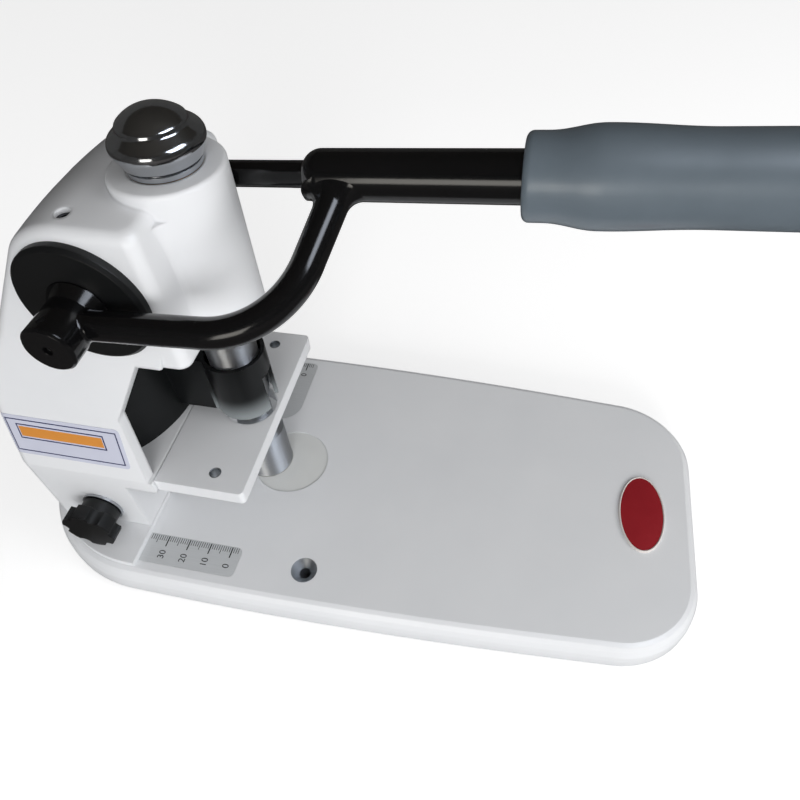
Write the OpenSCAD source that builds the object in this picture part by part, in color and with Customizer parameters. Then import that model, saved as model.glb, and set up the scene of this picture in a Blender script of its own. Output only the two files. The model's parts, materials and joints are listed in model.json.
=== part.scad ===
// Lever paper punch with a half-round tool, driven by a rack and pinion.
// Sizes in mm. +X points to the user, +Z up, the ground is Z = 0. The modules are written from the point
// where the punch axis meets the table top; placed() then moves them to the middle of the whole footprint.

/* [Base] */
// Height of the base casting without its feet
base_h = 13; // [12:0.5:18]
// Half of the greatest width of the base
base_half_w = 70.5; // [69:0.5:80]
// Punch axis to the rear end of the base
base_rear = 102; // [100:1:115]
// Punch axis to the front end of the base
base_front = 195; // [180:1:210]
// Place along X where the base is widest
wide_x = -10; // [-25:1:10]
// Radius of the bowed long sides
side_r = 2200; // [2000:50:4000]
// Radius of the rear corners in plan
rear_corner_r = 60; // [50:1:64]
// Radius of the front corners in plan
front_corner_r = 35; // [25:1:45]
// How far the top edge sits inside the foot edge
edge_in = 4.5; // [3:0.5:6]
// Height at which the edge starts to round over
edge_z = 4; // [2:0.5:6]
// Height of the raised pad under the frame
pad_h = 2.5; // [1.5:0.5:4]
// Distance of the pad from the rounded edge of the base
pad_in = 0.6; // [0.4:0.1:1]
// Depth of the hollow under the base
hollow_h = 7; // [4:0.5:8]
// Wall round the hollow
base_wall = 7; // [6:0.5:9]
// Width of the ribs in the hollow
rib_w = 5; // [3:0.5:8]
// Height that the rubber feet stand out
foot_h = 3; // [2:0.5:6]
// Diameter of the rubber feet
foot_d = 18; // [14:1:22]
// Depth of the seats of the feet
foot_seat = 2; // [1:0.5:3]
// Place of the rear feet along X
rear_foot_x = -86; // [-87:0.5:-85]
// Half of the distance between the rear feet
rear_foot_y = 26; // [22:0.5:26]
// Place of the front feet along X
front_foot_x = 160; // [150:1:165]
// Distance of the front feet from the side of the base
front_foot_side = 34.5; // [30:0.5:40]
// Bench hole diameter
bench_d = 4.8; // [4.2:0.1:5.5]
// Countersink diameter of the bench hole
bench_sink_d = 11; // [9:0.5:12]
// Bench hole along X
bench_x = 33.8; // [30:0.2:45]
// Distance of the bench hole from the near side of the base
bench_side = 17.3; // [15:0.1:20]

/* [Frame] */
// Rear face of the frame block
block_rear = -86; // [-86.5:0.5:-84]
// Face of the block behind the paper
wall_x = -39.3; // [-41:0.1:-38]
// Half width of the block and its shelf
block_half_w = 46.6; // [45.5:0.1:47]
// Radius of the rear corners of the block
block_corner_r = 5.5; // [5:0.5:9]
// Height of the paper gap above the table
gap_h = 33.3; // [32:0.1:36]
// Thickness of the shelf and of the stripper plate
plate_t = 6.7; // [6:0.1:8]
// Height where the spine starts to lean forward
knee_z = 80; // [76:1:84]
// Radius of the rear corners of the spine under the head
neck_corner_r = 5; // [4:0.5:8]
// Wall thickness of the hollow spine
spine_wall = 5; // [4.5:0.5:7]
// Radius of the head round the pinion shaft, at its ends
head_r = 25.4; // [25.2:0.1:25.5]
// How much fuller the head is in its middle
head_crown = 1.6; // [1:0.1:3]
// Half width of the head
head_half_w = 31.6; // [31:0.1:34]
// Rounding of the edges of the head
head_edge = 4; // [2:0.5:5]
// Front face of the head
head_front = 2.5; // [2:0.5:6]
// Height of the underside of the head
head_low = 95; // [94.5:0.5:97.5]
// Place of the deepest point of the throat along X
throat_deep_x = -30.5; // [-32:0.5:-28]
// Height of the deepest point of the throat
throat_deep_z = 70; // [65:0.5:75]
// Place of the throat along X where the head starts
throat_top_x = -16.5; // [-19:0.5:-13]
// Place of the throat along X at the shelf
throat_low_x = -26.6; // [-28:0.1:-26]
// How far the shelf reaches in front of the throat
shelf_land = 1.3; // [1:0.1:2]
// Radius of the quill column
column_r = 18.3; // [17:0.1:20]
// Height of the column top
column_top = 152; // [150:0.5:156]
// Rounding of the column top
column_edge = 1.2; // [0.5:0.1:4]
// Hollow blend between column and head
blend_r = 6; // [3:0.5:8]
// Bolt diameter of the frame bolts
bolt_d = 6; // [5:0.5:7]
// Depth of the frame bolts in the frame
bolt_in = 14; // [10:1:16]
// Place of the front frame bolts along X
bolt_front_x = -49; // [-50:0.5:-47]
// Place of the rear frame bolts along X
bolt_rear_x = -70; // [-72:0.5:-68]
// Half of the distance between the frame bolts
bolt_y = 38; // [37:0.5:39]

/* [Quill and punch] */
// Diameter of the quill
quill_d = 20; // [19:0.1:20]
// Lower end of the quill at rest
quill_low = 50; // [49:0.5:52]
// Bore of the hollow lower end of the quill
quill_bore_d = 14; // [12:0.5:15]
// Length of the hollow lower end
quill_hollow = 22; // [20:0.5:24]
// Height of the chip window
window_h = 11; // [8:0.5:11]
// Lower end of the quill to the chip window
window_up = 9; // [8:0.5:10]
// Width of the chip window
window_w = 11; // [8:0.5:11]
// Diameter of the threaded end under the cap
quill_neck_d = 12; // [10:0.5:13]
// Diameter of the punch
punch_d = 21.8; // [21:0.1:22]
// Bore of the punch
punch_bore_d = 17.8; // [16:0.1:18.5]
// Height of the shoulder of the punch
shoulder_z = 24; // [22:0.5:25]
// Height of the cone above the shoulder
shoulder_h = 3.6; // [2:0.1:4]
// Diameter of the punch above the shoulder
punch_neck_d = 16.4; // [15:0.1:18]
// Length of the bevel inside the cutting edge
bevel_h = 4; // [2:0.5:6]
// Width of the flat of the cutting edge
edge_w = 0.3; // [0.2:0.1:0.6]
// Height of the relief behind the cutting half
relief_h = 3.5; // [2:0.5:6]
// Place along X where the relief starts
relief_x = -2; // [-2.5:0.1:-1]
// Length of the punch shank in the quill
shank_l = 7; // [5:0.5:8]
// Wall of the punch shank
shank_wall = 1.5; // [1:0.1:2]
// Diameter of the punch grub screw
punch_screw_d = 4; // [3:0.5:4]
// Outer diameter of the quill bushes
bush_d = 23.2; // [23:0.1:24]
// Length of the quill bushes
bush_l = 12; // [10:0.5:12]

/* [Cap] */
// Diameter of the neck of the cap
cap_neck_d = 23.4; // [23:0.1:24.5]
// Greatest diameter of the cap
cap_d = 28.8; // [28:0.2:30]
// Diameter of the top button
cap_button_d = 20; // [19:0.2:22]
// Height of the whole cap
cap_h = 17.2; // [16:0.1:18]
// Height of the neck ring
cap_neck_h = 1.5; // [1:0.1:2]
// Height of the lower end of the bowl
cap_bowl_z = 2.6; // [2.2:0.1:3]
// Height of the rim where it is widest
cap_rim_z = 7.6; // [7:0.1:8]
// Radius of the roll of the rim
cap_roll = 3; // [2.5:0.1:3.5]
// Lean of the bowl out to the rim
cap_lean = 24; // [20:1:28]
// Height of the button where its dome starts
cap_dome_z = 13.5; // [13.2:0.1:13.8]
// Lean of the side of the button
cap_button_lean = 10; // [5:1:20]
// Radius of the soft edge and of the hollow under the button
cap_soft = 1.5; // [1:0.1:1.6]
// Depth of the groove above the neck
cap_groove = 0.7; // [0.4:0.1:1]
// Depth of the seat for the quill in the cap
cap_seat = 6.6; // [6:0.1:7]
// Length of the quill neck above the seat
quill_neck_l = 4.6; // [4:0.1:5]

/* [Table pieces] */
// Diameter of the cutting disc
disc_d = 34.5; // [34:0.5:36]
// Middle of the cutting disc in front of the punch axis
disc_x = 11; // [10:0.1:11]
// Thickness of the cutting disc
disc_t = 7; // [6:0.1:8]
// How deep the disc lies below the table
disc_sink = 0.3; // [0.1:0.1:0.6]
// Front edge of the stripper plate
plate_front = 12.6; // [12.4:0.1:15]
// Half width of the stripper plate
plate_half_w = 44.8; // [42:0.1:45]
// Front corner radius of the stripper plate
plate_corner_r = 2; // [1:0.5:6]
// Length of the tongue under the shelf
tongue_l = 12; // [11:0.5:13]
// Half width of the tongue
tongue_half_w = 37; // [34:0.5:39]
// Seam between the plate and the shelf
seam = 0.3; // [0.2:0.1:0.5]
// Plate screw diameter
plate_screw_d = 4; // [3:0.5:5]
// Metal left above the plate screws
screw_cover = 1; // [0.8:0.1:1.5]
// Half of the distance of the plate screws
plate_screw_y = 25; // [20:0.5:30]
// Core diameter of the threaded holes for a side stop
stop_hole_d = 4.2; // [3.3:0.1:5]
// Place of the threaded holes along X
stop_hole_x = -1.8; // [-4:0.1:0]
// Half of the distance between the threaded holes
stop_hole_y = 36.7; // [34:0.1:38]
// Thickness of the rulers
ruler_t = 0.8; // [0.5:0.1:1]
// Gap between the rulers and the frame pad
ruler_gap = 0.3; // [0.2:0.1:1]
// Front end of the near ruler
near_ruler_front = 4.6; // [3:0.1:10]
// Distance of the near ruler from the side of the base
near_ruler_side = 8.3; // [8:0.1:10]
// Width of the near ruler
near_ruler_w = 13.7; // [12:0.1:15]
// Front end of the far ruler
far_ruler_front = 5.5; // [3:0.1:10]
// Distance of the far ruler from the side of the base
far_ruler_side = 7.2; // [6.5:0.1:10]
// Width of the far ruler
far_ruler_w = 39.5; // [30:0.1:40]
// Radius of the small ruler corners
ruler_corner_r = 2.5; // [1:0.5:4]
// Radius of the inner corner of the far ruler
far_corner_r = 10; // [5:0.5:14]

/* [Chip guard] */
// Wall of the chip guard
guard_wall = 1.6; // [1.4:0.1:1.6]
// Bow radius of the front wall of the bin
guard_bow_r = 49; // [47:0.5:52]
// Front of the bin on the middle line
guard_front = -26.8; // [-27.5:0.1:-26.6]
// Height of the top of the bin
guard_top = 90; // [86:0.5:90]
// Gap between the bin and the spine
guard_gap = 0.5; // [0.4:0.1:1]
// Outer diameter of the shell round the punch
shell_d = 25.6; // [25.6:0.1:26]
// Height of the lower end of the shell
shell_low = 45; // [43:0.5:47]
// Height of the upper end of the shell
shell_top = 73.5; // [72:0.5:76]
// Height of the notch at the front of the shell
notch_h = 18; // [10:0.5:22]
// Half of the angle of the notch
notch_a = 20; // [10:1:40]
// Outer width of the duct between shell and bin
duct_w = 17; // [16:0.5:18]

/* [Bearings] */
// Height of the pinion shaft
shaft_z = 122.5; // [122:0.1:123]
// Diameter of the pinion shaft
shaft_d = 12; // [11:0.5:12.5]
// Diameter of the bearing flanges
flange_d = 44; // [41:0.5:46]
// Thickness of the bearing flanges
flange_t = 3.6; // [3:0.1:5]
// Bevel of the flange rims
flange_bevel = 1.2; // [0.5:0.1:2]
// Diameter of the flange spigots
spigot_d = 34; // [33.6:0.1:35]
// Distance of the spigots from the middle
spigot_in = 11; // [10.6:0.1:12]
// Outer diameter of the bearing bushes
bearing_d = 18; // [16:0.5:20]
// Diameter of the shoulder grub screws
grub_d = 5; // [4:0.5:6]
// Distance of the grub screws from the middle
grub_y = 23.4; // [20:0.2:25]
// Depth of the grub screws below the head top
grub_sink = 1; // [0.5:0.1:1.5]

/* [Drive] */
// Tooth module
tooth_m = 1.5; // [1.4:0.05:1.5]
// Number of pinion teeth
teeth = 20; // [18:1:20]
// Pitch line of the rack behind the quill axis
rack_in = 8; // [7.5:0.1:8]
// Length of the rack beyond its travel
rack_spare = 8; // [6:0.5:10]
// Pressure angle
press_a = 20; // [18:0.5:22]
// Play of each flank
flank_gap = 0.1; // [0.08:0.01:0.12]
// Width of the pinion
pinion_w = 14; // [12:0.5:16]
// Width of the key
key_w = 4; // [3:0.5:4]
// Length of the key
key_l = 12; // [10:0.5:14]
// Turn of the lever from rest to its upper stop
lever_turn = 120; // [100:1:120]

/* [Lever] */
// Slope of the lever at rest
lever_rest = 3.5; // [2.5:0.1:4.5]
// Diameter of the hubs
hub_d = 16.8; // [16.4:0.1:17.5]
// Diameter of the hub collars
collar_d = 21; // [20:0.5:23]
// Length of the hub collars
collar_h = 4; // [2:0.5:5]
// Bevel of the hub ends
hub_edge = 0.8; // [0.4:0.1:1.2]
// Outer end of the hubs
hub_out = 54; // [52:0.1:55]
// End wall of the hubs
hub_wall = 1.6; // [1.2:0.1:2]
// Diameter of the hole in the hub ends
hub_hole_d = 3.2; // [2.5:0.1:4]
// Diameter of the hub pins
pin_d = 2.4; // [2:0.1:2.6]
// Diameter of the arms
arm_d = 9.6; // [9:0.1:10]
// Distance of the arms from the middle
arm_y = 42.2; // [42:0.1:43]
// Bend radius of the arms
arm_bend_r = 30; // [27:1:32]
// Bend angle of the arms
arm_bend = 75.4; // [73:0.2:78]
// Distance of the arm welds from the shaft along the lever
weld_u = 80.3; // [78:0.1:84]
// Diameter of the lever tube
tube_d = 14.4; // [14:0.1:15]
// Wall of the lever tube
tube_wall = 1.5; // [1:0.1:2]
// Height of the tube above the line of the arms
tube_up = 24.8; // [24:0.1:26]
// Rear end of the tube along the lever
tube_u = 68; // [67:0.5:70]
// Rounding of the rear end of the tube
tube_round = 6; // [3:0.5:6.5]
// Start of the grip along the lever
grip_u = 130.7; // [125:0.5:135]
// Length of the grip
grip_l = 114; // [105:1:120]
// Diameter of the rear lip of the grip
lip_d = 23.2; // [22:0.1:24]
// Length of the rear lip
lip_l = 6; // [4:0.5:8]
// Rounding of the rear lip
lip_round = 2; // [1:0.5:4]
// Diameter of the swell of the grip
swell_d = 26.6; // [25:0.1:28]
// Rear end of the grip to its swell
swell_at = 20; // [18:0.5:25]
// Diameter of the handle behind the swell
grip_d = 24.4; // [23:0.1:26]
// Rear end of the grip to the handle
handle_at = 48; // [42:1:55]
// Rounding of the grip end
grip_round = 6; // [4:0.5:7]
// End wall of the grip
grip_wall = 5; // [3:0.5:7]

/* [Gauge] */
// Travel of the gauge
gauge_travel = 29; // [20:1:29]
// Inner edge of the gauge fingers
finger_in = 14; // [12:0.5:16]
// Outer edge of the gauge fingers
finger_out = 27.5; // [26:0.5:30]
// Height of the gauge fingers
finger_h = 20; // [14:0.5:21]
// Length of the gauge that stays in the block
gauge_stay = 14; // [12:0.5:14]
// Length of the bridge between the fingers
bridge_l = 10; // [8:0.5:12]
// Place of the knob along X
knob_x = -57.5; // [-60:0.5:-57]
// Height of the knob
knob_z = 14.8; // [14:0.1:16]
// Diameter of the knob
knob_d = 22.4; // [21:0.1:22.4]
// Length of the lobed head of the knob
knob_l = 6.5; // [5:0.5:8]
// Number of knob lobes
knob_lobes = 6; // [5:1:8]
// Diameter of the hollows between the lobes
knob_hollow_d = 6; // [5:0.5:7]
// Diameter of the round hub of the knob
knob_hub_d = 16; // [13:0.5:17]
// Length of the round hub of the knob
knob_hub_l = 5.5; // [3:0.5:7]
// Diameter of the washer
washer_d = 17.5; // [14:0.5:18]
// Thickness of the washer
washer_t = 1.2; // [0.8:0.1:1.6]
// Diameter of the clamp stud
stud_d = 6; // [5:0.5:7]
// Depth of the stud in the head of the knob
stud_in = 4; // [3:0.5:4.5]

/* [Fits] */
// Radial play of a running fit
run_gap = 0.03; // [0.01:0.01:0.05]
// Gap between pieces that move past each other
slide_gap = 0.3; // [0.25:0.05:0.4]

/* [Hidden] */
$fn = 96;
thin = 0.05;
over = 1;
table_z = foot_h + base_h;
shelf_z = gap_h + plate_t;
shelf_x = throat_low_x + shelf_land;
socket = 0.6;
tooth_root = 1.25;
pitch_r = tooth_m * teeth / 2;
pitch = PI * tooth_m;
travel = pitch_r * lever_turn * PI / 180;
rack_x = -rack_in;
shaft_x = rack_x - pitch_r;
head_top = shaft_z + head_r;
edge_step = 15;
crown_n = 5;
cap_soft_n = 6;
cap_foot = column_top + slide_gap;
quill_top = cap_foot + cap_seat;
punch_low = slide_gap - disc_sink;
front_foot_y = base_half_w - front_foot_side;
bench_y = base_half_w - bench_side;
ruler_rear = wall_x + ruler_gap;
front_cx = base_front - front_corner_r;
front_cy = side_y(front_cx) - front_corner_r;
rear_cx = rear_corner_r - base_rear;
rear_cy = side_y(rear_cx) - rear_corner_r;
bow_n = 10;
neck_z = shaft_z - head_r + head_edge;
spine_d = [shaft_x - block_rear, shaft_z - knee_z];
spine_a = atan2(spine_d[1], spine_d[0]) + asin(head_r / norm(spine_d));
arm_v = norm([arm_y, tube_up]);
arm_tilt = atan2(tube_up, arm_y);
arm_l2 = (arm_v - arm_bend_r * (1 - cos(arm_bend))) / sin(arm_bend);
arm_u1 = weld_u - arm_bend_r * sin(arm_bend) - arm_l2 * cos(arm_bend);
grip_end = shaft_x + (grip_u + grip_l - grip_round) * cos(lever_rest) + grip_round
    + (grip_d / 2 - grip_round - tube_up) * sin(lever_rest);
mid_x = (grip_end - base_rear) / 2;
flange_out = head_half_w + flange_t;
hub_in = flange_out + slide_gap;
pocket_low = 2 * thin;
gauge_l = gauge_travel + gauge_stay;
pocket_rear = wall_x - gauge_l - slide_gap;
pocket_y = finger_out + slide_gap;
knob_y = -block_half_w - washer_t - slide_gap - knob_hub_l;

white = "#E9EAEC";
black = "#1B1B1D";
steel = "#B9BCBE";
chrome = "#D5D8DB";
nylon = "#F3F2EC";

function side_y(x) = base_half_w - side_r + sqrt(pow(side_r, 2) - pow(x - wide_x, 2));
function bow_x(i) = rear_cx + (front_cx - rear_cx) * (i + 1) / (bow_n + 2);
function cheek_y(z) = block_half_w - (block_half_w - head_half_w) * (z - shelf_z) / (neck_z - shelf_z);
function spine_x(z) = block_rear + max(0, z - knee_z) / tan(spine_a);
function polar(r, a) = r * [cos(a), sin(a)];
function arc(c, r, a0, a1, n = 12) = [for (i = [0:n]) c + polar(r, a0 + (a1 - a0) * i / n)];
function bow_point(i, s, d) = [bow_x(i), s * (side_y(bow_x(i)) - d)];

module placed() translate([-mid_x, 0, table_z]) children();
module across(r, y0, y1) translate([0, y1, 0]) rotate([90, 0, 0]) cylinder(r = r, h = y1 - y0);
module at_shaft() translate([shaft_x, 0, shaft_z]) children();
module on_lever() at_shaft() rotate([0, -lever_rest, 0]) children();
module along_lever(u) translate([u, 0, tube_up]) rotate([0, 90, 0]) children();
module side_profile(half_w) translate([0, half_w, 0]) rotate([90, 0, 0])
    linear_extrude(2 * half_w) children();

// Base: bowed outline with round corners, its edge rounded over, hollow below.
module base_outline(d) {
    for (s = [-1, 1]) {
        translate([rear_cx, s * rear_cy]) circle(r = rear_corner_r - d);
        translate([front_cx, s * front_cy]) circle(r = front_corner_r - d);
    }
    polygon([for (s = [-1, 1], i = [0:bow_n]) bow_point(s < 0 ? i : bow_n - i, s, d)]);
}

module pad_outline(d) intersection() {
    r = rear_corner_r - edge_in - pad_in - d;
    union() {
        for (s = [-1, 1]) translate([rear_cx, s * rear_cy]) circle(r = r);
        translate([rear_cx, -rear_cy - r]) square([rear_corner_r, 2 * (rear_cy + r)]);
        translate([rear_cx - r, -rear_cy]) square([r, 2 * rear_cy]);
    }
    translate([-base_rear, -base_half_w]) square([base_rear + wall_x, 2 * base_half_w]);
}

module feet_at() for (p = [[rear_foot_x, rear_foot_y], [front_foot_x, front_foot_y]], s = [-1, 1])
    translate([p[0], s * p[1], -table_z]) children();

module bolts_at() for (x = [bolt_front_x, bolt_rear_x], s = [-1, 1])
    translate([x, s * bolt_y, -base_h]) children();

module hollow_outline() difference() {
    union() {
        x0 = wall_x + base_wall;
        r = front_corner_r - base_wall;
        w = front_cy + r;
        translate([x0, -w]) square([front_cx - x0, 2 * w]);
        translate([x0, -front_cy]) square([front_cx + r - x0, 2 * front_cy]);
        for (s = [-1, 1]) translate([front_cx, s * front_cy]) circle(r = r);
    }
    translate([disc_x, 0]) circle(d = disc_d + 2 * base_wall);
    translate([bench_x, -bench_y]) circle(d = bench_sink_d + 2 * base_wall);
    for (s = [-1, 1]) translate([front_foot_x, s * front_foot_y]) circle(d = foot_d + base_wall);
    translate([disc_x, -rib_w / 2]) square([base_front, rib_w]);
    translate([bench_x - rib_w / 2, -base_half_w]) square([rib_w, 2 * base_half_w]);
    translate([(bench_x + front_foot_x) / 2, -base_half_w]) square([rib_w, 2 * base_half_w]);
}

// What a corner of radius r takes away.
module corner_waste(r) difference() {
    translate([-r, -over]) square([r + over, r + over]);
    translate([-r, r]) circle(r = r);
}

// Rectangle whose front corners have the radii r0 and r1.
module rounded_front(x0, x1, y0, y1, r0, r1) difference() {
    translate([x0, y0]) square([x1 - x0, y1 - y0]);
    translate([x1, y0]) corner_waste(r0);
    translate([x1, y1]) mirror([0, 1]) corner_waste(r1);
}

module ruler_outline(front, side, w, r) rounded_front(ruler_rear, front, base_half_w - side - w,
    base_half_w - side, r, ruler_corner_r);
module near_outline() mirror([0, 1])
    ruler_outline(near_ruler_front, near_ruler_side, near_ruler_w, ruler_corner_r);
module far_outline() ruler_outline(far_ruler_front, far_ruler_side, far_ruler_w, far_corner_r);

module gauge_pocket(z0, z1) translate([pocket_rear, -pocket_y, z0])
    cube([wall_x - pocket_rear + over, 2 * pocket_y, z1 - z0]);

module base_plate() color(white) placed() difference() {
    union() {
        hull() {
            translate([0, 0, -base_h]) linear_extrude(thin) base_outline(0);
            for (a = [0:22.5:90])
                translate([0, 0, edge_z - base_h - thin + (base_h - edge_z) * sin(a)])
                    linear_extrude(thin) base_outline(edge_in * (1 - cos(a)));
        }
        hull() {
            translate([0, 0, -thin]) linear_extrude(thin) pad_outline(-pad_in / 2);
            translate([0, 0, pad_h - thin]) linear_extrude(thin) pad_outline(0);
        }
    }
    translate([0, 0, -base_h - over]) linear_extrude(hollow_h + over) hollow_outline();
    translate([disc_x, 0, -disc_sink - disc_t - run_gap])
        cylinder(d = disc_d + 2 * run_gap, h = disc_t + disc_sink + over);
    translate([bench_x, -bench_y, 0]) {
        translate([0, 0, -base_h - over]) cylinder(d = bench_d, h = base_h + 2 * over);
        translate([0, 0, -(bench_sink_d - bench_d) / 2])
            cylinder(d1 = bench_d, d2 = bench_sink_d, h = (bench_sink_d - bench_d) / 2);
    }
    gauge_pocket(pocket_low, pad_h + over);
    bolts_at() {
        translate([0, 0, -over]) cylinder(d = bolt_d, h = base_h + pad_h + 2 * over);
        translate([0, 0, -over]) cylinder(d = 2 * bolt_d, h = bolt_d + over);
    }
    feet_at() cylinder(d = foot_d, h = foot_h + foot_seat);
    translate([0, 0, -ruler_t]) linear_extrude(ruler_t + over) {
        near_outline();
        far_outline();
    }
}

module rubber_feet() color(black) placed() feet_at() {
    cylinder(d1 = foot_d - foot_h, d2 = foot_d, h = foot_h);
    translate([0, 0, foot_h]) cylinder(d = foot_d, h = foot_seat);
}

module near_ruler() color(steel) placed() translate([0, 0, -ruler_t]) linear_extrude(ruler_t)
    near_outline();

module far_ruler() color(steel) placed() translate([0, 0, -ruler_t]) linear_extrude(ruler_t)
    far_outline();

module cutting_disc() color(nylon) placed() translate([disc_x, 0, -disc_sink - disc_t])
    cylinder(d = disc_d, h = disc_t);

// Frame: hollow spine, head with the shaft bore, and the quill column, in one casting.
module block_outline(x0, x1, half_w, r) {
    translate([x0 + r, -half_w]) square([x1 - x0 - r, 2 * half_w]);
    translate([x0, r - half_w]) square([2 * r, 2 * (half_w - r)]);
    for (s = [-1, 1]) translate([x0 + r, s * (half_w - r)]) circle(r = r);
}

module neck_outline() block_outline(spine_x(neck_z), head_front - 2 * head_edge, head_half_w, neck_corner_r);

function crowned(y) = head_r + head_crown * (1 - pow(y / head_half_w, 2));

// Crowned barrel round the shaft, its two edges rounded over.
module head_barrel() at_shaft() {
    full = head_half_w - head_edge;
    for (i = [1:crown_n]) across(crowned(full * i / crown_n), -full * i / crown_n, full * i / crown_n);
    for (a = [edge_step:edge_step:90])
        across(crowned(full) - head_edge * (1 - cos(a)), -full - head_edge * sin(a),
            full + head_edge * sin(a));
}

module head_outline(d) {
    w = head_half_w - d;
    r = head_edge;
    x1 = head_front - d;
    translate([shaft_x, -w]) square([x1 - r - shaft_x, 2 * w]);
    translate([shaft_x, r - w]) square([x1 - shaft_x, 2 * (w - r)]);
    for (s = [-1, 1]) translate([x1 - r, s * (w - r)]) circle(r = r);
}

module column_blend() {
    c = [head_front + blend_r, sqrt(pow(column_r + blend_r, 2) - pow(head_front + blend_r, 2))];
    t = c * column_r / (column_r + blend_r);
    for (s = [-1, 1]) scale([1, s]) difference() {
        polygon([[0, 0], [0, c[1]], [head_front, c[1]], c, t]);
        translate(c) circle(r = blend_r);
    }
}

module spine_hollow(gap) intersection() {
    z0 = shelf_z;
    z1 = guard_top + 2 * guard_wall;
    in = spine_wall / sin(spine_a) + gap;
    side_profile(block_half_w) polygon([[0, z0], [0, z1 - gap], [spine_x(z1) + in, z1 - gap],
        [spine_x(knee_z) + in, knee_z], [spine_x(knee_z) + in, z0]]);
    rotate([90, 0, 90]) translate([0, 0, block_rear]) linear_extrude(-block_rear)
        polygon([for (s = [-1, 1], z = s < 0 ? [z0, z1] : [z1, z0])
            [s * (cheek_y(z) - spine_wall - gap), z]]);
}

module frame_casting() color(white) placed() difference() {
    union() {
        hull() {
            translate([0, 0, pad_h]) linear_extrude(shelf_z - pad_h)
                block_outline(block_rear, shelf_x, block_half_w, block_corner_r);
            translate([0, 0, knee_z]) linear_extrude(thin)
                block_outline(block_rear, wall_x, cheek_y(knee_z), block_corner_r);
            translate([0, 0, neck_z]) linear_extrude(thin) neck_outline();
        }
        hull() {
            translate([0, 0, neck_z]) linear_extrude(thin) neck_outline();
            head_barrel();
        }
        hull() {
            head_barrel();
            translate([0, 0, head_low]) linear_extrude(head_top - head_edge - head_low) head_outline(0);
            for (a = [edge_step:edge_step:90]) translate([0, 0, head_top - head_edge * (1 - sin(a)) - thin])
                linear_extrude(thin) head_outline(head_edge * (1 - cos(a)));
        }
        rotate_extrude() polygon(concat([[0, head_low], [column_r, head_low]],
            arc([column_r - column_edge, column_top - column_edge], column_edge, 0, 90), [[0, column_top]]));
        translate([0, 0, head_low]) linear_extrude(head_top - head_edge - head_low) column_blend();
    }
    side_profile(2 * block_half_w) polygon([[throat_low_x, shelf_z], [throat_deep_x, throat_deep_z],
        [throat_top_x, head_low], [base_front, head_low], [base_front, 0], [shelf_x, 0], [shelf_x, shelf_z]]);
    translate([wall_x, -2 * block_half_w, 0]) cube([base_front, 4 * block_half_w, gap_h]);
    translate([shelf_x - tongue_l - seam, -tongue_half_w - seam, 0])
        cube([tongue_l + 2 * seam, 2 * (tongue_half_w + seam), gap_h + plate_t / 2 + thin]);
    spine_hollow(0);
    at_shaft() across(spigot_d / 2, -block_half_w, block_half_w);
    translate([0, 0, head_low - over])
        cylinder(d = quill_d + 4 * slide_gap, h = column_top - head_low + 2 * over);
    translate([0, 0, head_low - over]) cylinder(d = bush_d, h = bush_l + over);
    translate([0, 0, column_top - bush_l]) cylinder(d = bush_d, h = bush_l + over);
    grubs_at() cylinder(d = grub_d, h = head_r);
    plate_screws_at() cylinder(d = plate_screw_d, h = plate_t - screw_cover);
    gauge_pocket(0, pocket_low + finger_h + 2 * slide_gap);
    stud_at() across(stud_d / 2 + run_gap, 0, block_half_w);
    bolts_at() cylinder(d = bolt_d, h = base_h + pad_h + bolt_in);
}

module frame_bolts() color(steel) placed() bolts_at() difference() {
    union() {
        translate([0, 0, bolt_d]) cylinder(d = bolt_d, h = base_h + pad_h + bolt_in - bolt_d);
        cylinder(d = 2 * bolt_d - 2 * slide_gap, h = bolt_d);
    }
    translate([0, 0, -over]) cylinder(d = bolt_d, h = bolt_d / 2 + over, $fn = 6);
}

module grubs_at() for (s = [-1, 1])
    translate([shaft_x, s * grub_y, shaft_z + spigot_d / 2]) children();

module grub_screws() color(steel) placed() grubs_at() {
    h = head_r - spigot_d / 2 - grub_sink;
    difference() {
        cylinder(d = grub_d, h = h);
        translate([0, 0, h / 2]) cylinder(d = grub_d * socket, h = h, $fn = 6);
    }
}

// Bearings of the pinion shaft: flange with spigot, pushed in from each side.
module flange() at_shaft() rotate([90, 0, 0]) difference() {
    rotate_extrude() polygon([[0, spigot_in], [spigot_d / 2, spigot_in], [spigot_d / 2, head_half_w],
        [flange_d / 2, head_half_w], [flange_d / 2, flange_out - flange_bevel],
        [flange_d / 2 - flange_bevel, flange_out], [0, flange_out]]);
    cylinder(d = bearing_d, h = flange_out + over);
}

module bearing() at_shaft() rotate([90, 0, 0]) translate([0, 0, spigot_in]) difference() {
    cylinder(d = bearing_d, h = flange_out - spigot_in);
    translate([0, 0, -over]) cylinder(d = shaft_d + 2 * run_gap, h = flange_out);
}

module near_flange() color(black) placed() flange();
module far_flange() color(black) placed() mirror([0, 1, 0]) flange();
module near_bearing() color("#B08A4A") placed() bearing();
module far_bearing() color("#B08A4A") placed() mirror([0, 1, 0]) bearing();

// Guides of the quill in the column.
module quill_bush(z) translate([0, 0, z]) difference() {
    cylinder(d = bush_d, h = bush_l);
    translate([0, 0, -over]) cylinder(d = quill_d + 2 * run_gap, h = bush_l + 2 * over);
}

module lower_bush() color("#B08A4A") placed() quill_bush(head_low);

module upper_bush() color("#B08A4A") placed() quill_bush(column_top - bush_l);

// Stripper plate: its half-thick tongue is screwed under the shelf, and the punch passes through it.
module plate_screws_at() for (s = [-1, 1])
    translate([shelf_x - tongue_l / 2, s * plate_screw_y, gap_h]) children();

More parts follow.
